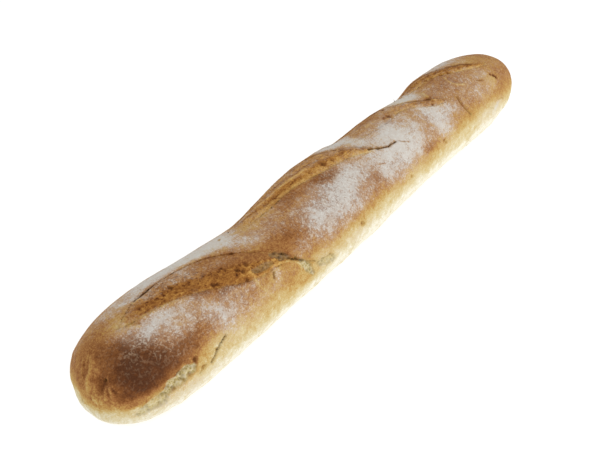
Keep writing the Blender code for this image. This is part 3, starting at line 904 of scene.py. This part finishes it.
def face_corners():
    """The (ring, column) places of every face's corners: quads between rings, triangles at the tips."""
    faces = [((ring, column), (ring + 1, column), (ring + 1, column + 1), (ring, column + 1))
             for ring in range(RINGS - 1) for column in range(COLUMNS)]
    for column in range(COLUMNS):
        faces.append(((-1, column + 0.5), (0, column), (0, column + 1)))
        faces.append(((RINGS, column + 0.5), (RINGS - 1, column + 1), (RINGS - 1, column)))
    return faces


def lay_out_map(mesh, faces):
    """The texture map: the -X half above, the +X half below, each with its seam under the base."""
    layer = mesh.uv_layers.new(name="OFBake")
    middle = RINGS // 2
    flat = []
    for corners in faces:
        second_half = min(corners)[0] >= middle
        for ring, column in corners:
            run = (ring + 1 - (middle + 1 if second_half else 0)) / (middle + 1)
            turn = column / COLUMNS
            u = MAP_MARGIN + run * (1 - 2 * MAP_MARGIN)
            v = MAP_MARGIN + turn * (0.5 - 2 * MAP_MARGIN) + (0.0 if second_half else 0.5)
            flat += (u, v)
    layer.data.foreach_set("uv", np.array(flat, np.float32))


def keep_on_points(mesh, name, values):
    """Keep a value on the mesh's points. Each tip takes the mean of the ring beside it."""
    tips = values[:COLUMNS].mean(), values[-COLUMNS:].mean()
    attribute = mesh.attributes.new(name, "FLOAT", "POINT")
    attribute.data.foreach_set("value", np.concatenate([np.clip(values, 0, 1), tips]).astype(np.float32))


def add_object(name, data):
    made = bpy.data.objects.new(name, data)
    bpy.context.scene.collection.objects.link(made)
    return made


def build_crust():
    crust = make_crust()
    faces = face_corners()
    mesh = bpy.data.meshes.new("baguette_crust")
    numbered = [tuple(point_number(*corner) for corner in corners) for corners in faces]
    mesh.from_pydata(finished_points(crust).tolist(), [], numbered)
    mesh.shade_smooth()
    for name in ("bake", "flour", "opened", "crumb", "painted_shade"):
        keep_on_points(mesh, name, getattr(crust, name))
    lay_out_map(mesh, faces)
    mesh.materials.append(crust_material())
    piece = add_object("baguette_crust", mesh)
    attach(piece, "root")
    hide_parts("loaf")


# ---- the crust's material
def linear(red, green, blue):
    """A colour given as 0 to 255 screen values, for a shader."""
    parts = [c / 255 for c in (red, green, blue)]
    return tuple(c / 12.92 if c <= 0.04045 else ((c + 0.055) / 1.055) ** 2.4 for c in parts) + (1.0,)


class Wiring:
    """Short ways to add and join a material's nodes. Most methods return the new node's output."""

    def __init__(self, tree):
        self.tree = tree

    def join(self, value, socket):
        if isinstance(value, bpy.types.NodeSocket):
            self.tree.links.new(value, socket)
        else:
            socket.default_value = value

    def node(self, kind, inputs=(), **settings):
        """Add a node of a kind, named without the word ShaderNode, and return it."""
        made = self.tree.nodes.new("ShaderNode" + kind)
        for name, value in settings.items():
            setattr(made, name, value)
        for name, value in dict(inputs).items():
            self.join(value, made.inputs[name])
        return made

    def maths(self, operation, first, second=0.0, clamp=False):
        made = self.node("Math", {0: first, 1: second}, operation=operation, use_clamp=clamp)
        return made.outputs[0]

    def plus(self, first, second, clamp=False):
        return self.maths("ADD", first, second, clamp)

    def times(self, first, second):
        return self.maths("MULTIPLY", first, second)

    def kept(self, name):
        """A value kept on the mesh's points."""
        return self.node("Attribute", attribute_name=name).outputs["Fac"]

    def noise(self, place, size, detail=2.0, roughness=0.55):
        """Noise from 0 to 1, its lumps about `size` millimetres across."""
        inputs = {"Vector": place, "Scale": 1 / (size * MM), "Detail": detail, "Roughness": roughness}
        return self.node("TexNoise", inputs).outputs["Fac"]

    def cells(self, place, size):
        """Both outputs, distance and colour, of cells about `size` millimetres across."""
        return self.node("TexVoronoi", {"Vector": place, "Scale": 1 / (size * MM)}).outputs

    def specks(self, place, size, share):
        """Scattered dots, 1 in the middle of each. The share of the cells that hold one may vary."""
        cells = self.cells(place, size)
        chance = self.node("SeparateColor", {0: cells["Color"]}).outputs[0]
        return self.times(self.between(cells["Distance"], 0.42, 0.22), self.maths("LESS_THAN", chance, share))

    def strokes(self, place, size, width):
        """Short wandering strokes, 1 down the middle of each."""
        off_line = self.maths("ABSOLUTE", self.maths("SUBTRACT", self.noise(place, size, detail=1.0), 0.5))
        broken = self.between(self.noise(place, 0.8 * size, detail=0.0), 0.42, 0.58)
        return self.times(self.between(off_line, width, 0.3 * width), broken)

    def between(self, value, start, end, low=0.0, high=1.0):
        """low at start and before it, high at end and after it, smooth between."""
        inputs = {"Value": value, "From Min": start, "From Max": end, "To Min": low, "To Max": high}
        return self.node("MapRange", inputs, interpolation_type="SMOOTHSTEP").outputs["Result"]

    def spread(self, base, noise, amount):
        """base, pushed up and down by noise by up to half the amount."""
        return self.plus(base, self.times(self.maths("SUBTRACT", noise, 0.5), amount))

    def ramp(self, value, stops):
        made = self.node("ValToRGB", {"Fac": value})
        elements = made.color_ramp.elements
        for element, (place, colour) in zip(elements, (stops[0], stops[-1])):
            element.position, element.color = place, linear(*colour)
        for place, colour in stops[1:-1]:
            elements.new(place).color = linear(*colour)
        return made.outputs["Color"]

    def blend(self, share, first, second):
        return self.node("Mix", {0: share, 6: first, 7: second}, data_type="RGBA").outputs[2]


SKIN_TONES = (
    (0.00, (240, 235, 217)), (0.07, (224, 213, 180)), (0.14, (215, 198, 152)), (0.22, (206, 182, 127)),
    (0.30, (198, 166, 102)), (0.42, (187, 144, 80)), (0.58, (164, 112, 63)), (0.72, (136, 85, 42)),
    (0.88, (102, 57, 25)), (1.00, (78, 41, 18)),
)
OPENED_TONES = (
    (0.00, (226, 198, 128)), (0.25, (206, 160, 88)), (0.42, (176, 122, 58)), (0.60, (142, 90, 40)),
    (0.80, (104, 58, 24)), (1.00, (74, 36, 16)),
)
CRUMB_TONES = ((0.0, (128, 112, 54)), (0.35, (190, 174, 120)), (0.8, (216, 206, 172)))
FLOUR_TONES = ((0.0, (200, 162, 122)), (0.20, (219, 200, 176)), (0.60, (216, 212, 204)))
SHADOW_TINT = (82, 54, 20)
BUMP_DEPTH = 0.7 * MM


def baked_colour(wiring, place, grain, mottle):
    """The skin by how far it is baked, and the stringier dough where it has opened."""
    kept_bake = wiring.kept("bake")
    uneven = wiring.between(kept_bake, 0.05, 0.40, 0.45, 1.0)
    uneven = wiring.times(uneven, wiring.between(kept_bake, 0.60, 0.90, 1.0, 0.60))
    bake = wiring.spread(kept_bake, mottle, wiring.times(uneven, 0.42))
    bake = wiring.spread(bake, grain, wiring.times(uneven, 0.70))
    drawn_out = wiring.node("Mapping", {"Vector": place, "Scale": DRAWN_ALONG}).outputs[0]
    opened_bake = wiring.spread(bake, wiring.noise(drawn_out, 1.3, detail=3.0, roughness=0.7), 0.5)
    opened_bake = wiring.plus(opened_bake, wiring.times(wiring.specks(place, 2.1, 0.22), 0.22))
    skin, opened = wiring.ramp(bake, SKIN_TONES), wiring.ramp(opened_bake, OPENED_TONES)
    return wiring.blend(wiring.kept("opened"), skin, opened)


def flour_film(wiring, place, mottle):
    """How fully flour hides the crust: an even film with grains, flecks and short strokes of it."""
    flour = wiring.kept("flour")
    dusting = wiring.spread(flour, wiring.noise(place, 1.2, detail=3.0, roughness=0.7), 2.6)
    dusting = wiring.spread(dusting, mottle, 1.8)
    dusting = wiring.spread(dusting, wiring.noise(place, 11.0), 1.2)
    grains = wiring.times(wiring.between(dusting, 0.25, 0.75, 0.0, 0.44), wiring.between(flour, 0.0, 0.12))
    film = wiring.plus(grains, wiring.times(flour, 0.51))
    flecks = wiring.specks(place, 1.7, wiring.between(flour, 0.01, 0.30, 0.0, 0.34))
    on_skin = wiring.between(wiring.kept("opened"), 0.0, 1.0, 1.0, 0.25)
    fleck_strength = wiring.times(wiring.between(flour, 0.02, 0.30, 0.10, 0.38), on_skin)
    film = wiring.plus(film, wiring.times(flecks, fleck_strength), clamp=True)
    strokes = wiring.times(wiring.strokes(place, 3.0, 0.10), wiring.between(flour, 0.0, 0.08))
    stroke_strength = wiring.between(flour, 0.10, 0.40, 0.19, 0.12)
    return wiring.plus(film, wiring.times(strokes, stroke_strength), clamp=True)


def new_material(name):
    """A material, with its shader's inputs."""
    material = bpy.data.materials.new(name)
    material.use_nodes = True
    return material, material.node_tree.nodes["Principled BSDF"].inputs


def crust_material():
    material, shader = new_material("baguette_crust")
    wiring = Wiring(material.node_tree)
    place = wiring.node("TexCoord").outputs["Object"]
    grain = wiring.noise(place, 1.0, detail=3.0, roughness=0.65)
    mottle = wiring.noise(place, 3.2, detail=3.0)
    film = flour_film(wiring, place, mottle)
    colour = baked_colour(wiring, place, grain, mottle)
    colour = wiring.blend(film, colour, wiring.ramp(wiring.kept("flour"), FLOUR_TONES))
    pores = wiring.spread(wiring.cells(place, 1.7)["Distance"], grain, 0.5)
    colour = wiring.blend(wiring.kept("crumb"), colour, wiring.ramp(pores, CRUMB_TONES))
    # Painted shade: cracks, pits, tears, the dimple and the line under each slash's lifted edge are blended
    # towards the shadow tint.
    colour = wiring.blend(wiring.kept("painted_shade"), colour, linear(*SHADOW_TINT))
    wiring.join(colour, shader["Base Color"])

    roughness = wiring.between(wiring.kept("bake"), 0.2, 0.9, 0.80, 0.58)
    wiring.join(wiring.maths("MAXIMUM", roughness, wiring.times(film, 1.1)), shader["Roughness"])
    shader["Specular IOR Level"].default_value = 0.08
    height = wiring.plus(wiring.times(grain, 0.45), wiring.times(mottle, 0.9))
    height = wiring.plus(height, wiring.times(film, 0.25))
    bump = wiring.node("Bump", {"Strength": 0.55, "Distance": BUMP_DEPTH, "Height": height})
    wiring.join(bump.outputs["Normal"], shader["Normal"])
    return material


# ---- the studio, in metres
FLOOR_GLOW = 0.68
FLOOR_SIZE = 60.0
FLOOR_DROP = 0.0002           # keeps the floor just clear of the loaf's flat base
SKY_LOW, SKY_HIGH = 0.80, 0.76
KEY_POWER = 5.5
KEY_PLACE = (0.35, -1.25, 0.50)
KEY_AIM = (0.0, 0.0, 0.02)
KEY_SIZE = (1.4, 0.7)
CAMERA_PLACE = (-450.0, -305.0, 438.0)      # before the loaf is centred, millimetres
CAMERA_YAW, CAMERA_PITCH = 37.97, 38.97
LENS, SENSOR = 50.0, 36.0


def floor_material():
    material, shader = new_material("studio_floor")
    shader["Base Color"].default_value = (0.5, 0.5, 0.5, 1.0)
    shader["Roughness"].default_value = 1.0
    shader["Specular IOR Level"].default_value = 0.0
    shader["Emission Color"].default_value = (1.0, 1.0, 1.0, 1.0)
    shader["Emission Strength"].default_value = FLOOR_GLOW
    return material


def add_floor():
    mesh = bpy.data.meshes.new("studio_floor")
    signs = ((-1, -1), (1, -1), (1, 1), (-1, 1))
    mesh.from_pydata([(x * FLOOR_SIZE / 2, y * FLOOR_SIZE / 2, 0) for x, y in signs], [], [(0, 1, 2, 3)])
    mesh.materials.append(floor_material())
    floor = add_object("studio_floor", mesh)
    floor.location.z = -FLOOR_DROP


def add_sky():
    """A soft white surround, a little brighter low down than overhead."""
    world = bpy.data.worlds.new("studio")
    bpy.context.scene.world = world
    world.use_nodes = True
    wiring = Wiring(world.node_tree)
    direction = wiring.node("TexCoord").outputs["Generated"]
    height = wiring.node("SeparateXYZ", {0: direction}).outputs["Z"]
    strength = wiring.between(height, 0.05, 0.9, SKY_LOW, SKY_HIGH)
    background = world.node_tree.nodes["Background"]
    background.inputs["Color"].default_value = (1.0, 1.0, 1.0, 1.0)
    wiring.join(strength, background.inputs["Strength"])


def add_key_light():
    light = bpy.data.lights.new("key", "AREA")
    light.shape = "RECTANGLE"
    light.size, light.size_y = KEY_SIZE
    light.energy = KEY_POWER
    lamp = add_object("key", light)
    lamp.location = KEY_PLACE
    lamp.rotation_euler = (Vector(KEY_AIM) - lamp.location).to_track_quat("-Z", "Y").to_euler()


def add_camera():
    data = bpy.data.cameras.new("camera")
    data.lens, data.sensor_width = LENS, SENSOR
    camera = add_object("camera", data)
    x, y, z = CAMERA_PLACE
    camera.location = Vector((x, y - sideways_shift(), z)) * MM
    yaw, pitch = math.radians(CAMERA_YAW), math.radians(CAMERA_PITCH)
    looking = Vector((math.cos(pitch) * math.cos(yaw), math.cos(pitch) * math.sin(yaw), -math.sin(pitch)))
    camera.rotation_euler = looking.to_track_quat("-Z", "Y").to_euler()
    bpy.context.scene.camera = camera


build_crust()
add_floor()
add_sky()
add_key_light()
add_camera()
bpy.context.scene.view_settings.view_transform = "Standard"
